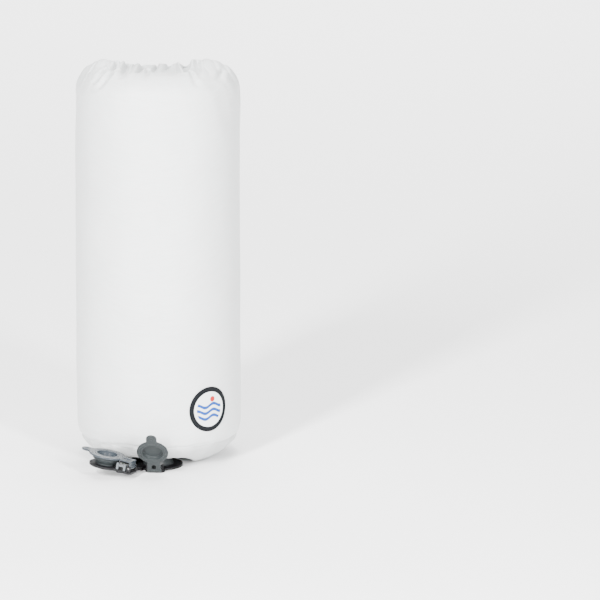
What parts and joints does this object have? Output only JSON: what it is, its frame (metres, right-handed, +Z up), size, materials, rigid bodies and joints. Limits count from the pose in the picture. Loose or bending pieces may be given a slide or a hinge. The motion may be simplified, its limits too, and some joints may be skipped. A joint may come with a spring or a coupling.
{
  "type": "inflatable air sack with twin valve",
  "caption": "Upright cylindrical air sack with a roll-top closure, plugged into a moulded twin valve with hinged caps, for filling an air mattress or pillow.",
  "frame": {"origin": "on the sack's axis, on the flat underside of its base, at the height of the floor", "axes": "+Z up along the sack, +X to the right seen from the front, +Y to the back, so the caps are at -Y"},
  "size_m": [0.194, 0.2294, 0.4768],
  "materials": {
    "sack_fabric": "coated taffeta, satin",
    "patch": "woven label with a stitched edge",
    "stiffener": "plain",
    "webbing": "flat woven webbing",
    "buckle_plastic": "fine moulded texture",
    "grey_moulding": "soft satin moulding",
    "cap_moulding": "soft satin moulding",
    "clip_moulding": "satin moulding",
    "dark_flange": "matt",
    "silicone": "smooth",
    "pin_steel": "drawn"
  },
  "bodies": {
    "valve": {"valve_base": "dark_flange", "inflate_port": "grey_moulding", "inflate_seal": "silicone", "inflate_bracket": "grey_moulding", "inflate_pin": "pin_steel", "flap_grid": "grey_moulding", "deflate_port": "grey_moulding", "deflate_seal": "silicone", "deflate_bracket": "grey_moulding", "deflate_pin": "pin_steel", "strap_hook": "clip_moulding"},
    "sack": {"sack_shell": "sack_fabric", "base_patch": "sack_fabric", "nozzle": "grey_moulding", "nozzle_ring": "grey_moulding", "seam_tape": "sack_fabric", "label_patch": "patch", "roll_top": "sack_fabric", "stiffener_strip": "stiffener", "webbing_left": "webbing", "webbing_right": "webbing", "buckle_female": "buckle_plastic", "buckle_male": "buckle_plastic"},
    "inflate_cap": {"inflate_cap": "cap_moulding"},
    "deflate_cap": {"deflate_cap": "cap_moulding"},
    "check_flap": {"check_flap": "silicone"},
    "prong_left": {"buckle_prong_left": "buckle_plastic"},
    "prong_right": {"buckle_prong_right": "buckle_plastic"}
  },
  "joints": [
    {"name": "sack_lift", "type": "slide", "parent": "valve", "child": "sack", "axis": [0, 0, 1], "range_m": [0, 0.06]},
    {"name": "inflate_cap_hinge", "type": "hinge", "parent": "valve", "child": "inflate_cap", "pos_m": [-0.00292, -0.09037, 0.0065], "axis": [0.9962, -0.0872, 0], "range_deg": [-22, 0]},
    {"name": "deflate_cap_hinge", "type": "hinge", "parent": "valve", "child": "deflate_cap", "pos_m": [-0.02934, -0.11819, 0.01258], "axis": [0.3848, 0.9205, -0.0679], "range_deg": [0, 60]},
    {"name": "check_flap_hinge", "type": "hinge", "parent": "valve", "child": "check_flap", "pos_m": [0.00073, -0.04863, 0.0062], "axis": [0.9962, -0.0872, 0], "range_deg": [0, 15], "stiffness_Nm_per_rad": 0.002},
    {"name": "prong_left_flex", "type": "hinge", "parent": "sack", "child": "prong_left", "pos_m": [0.0096, 0.07231, 0.44142], "axis": [0, 0.2425, 0.9701], "range_deg": [0, 7], "stiffness_Nm_per_rad": 0.08},
    {"name": "prong_right_flex", "type": "hinge", "parent": "sack", "child": "prong_right", "pos_m": [0.0096, 0.05969, 0.44458], "axis": [0, 0.2425, 0.9701], "range_deg": [-7, 0], "stiffness_Nm_per_rad": 0.08}
  ]
}
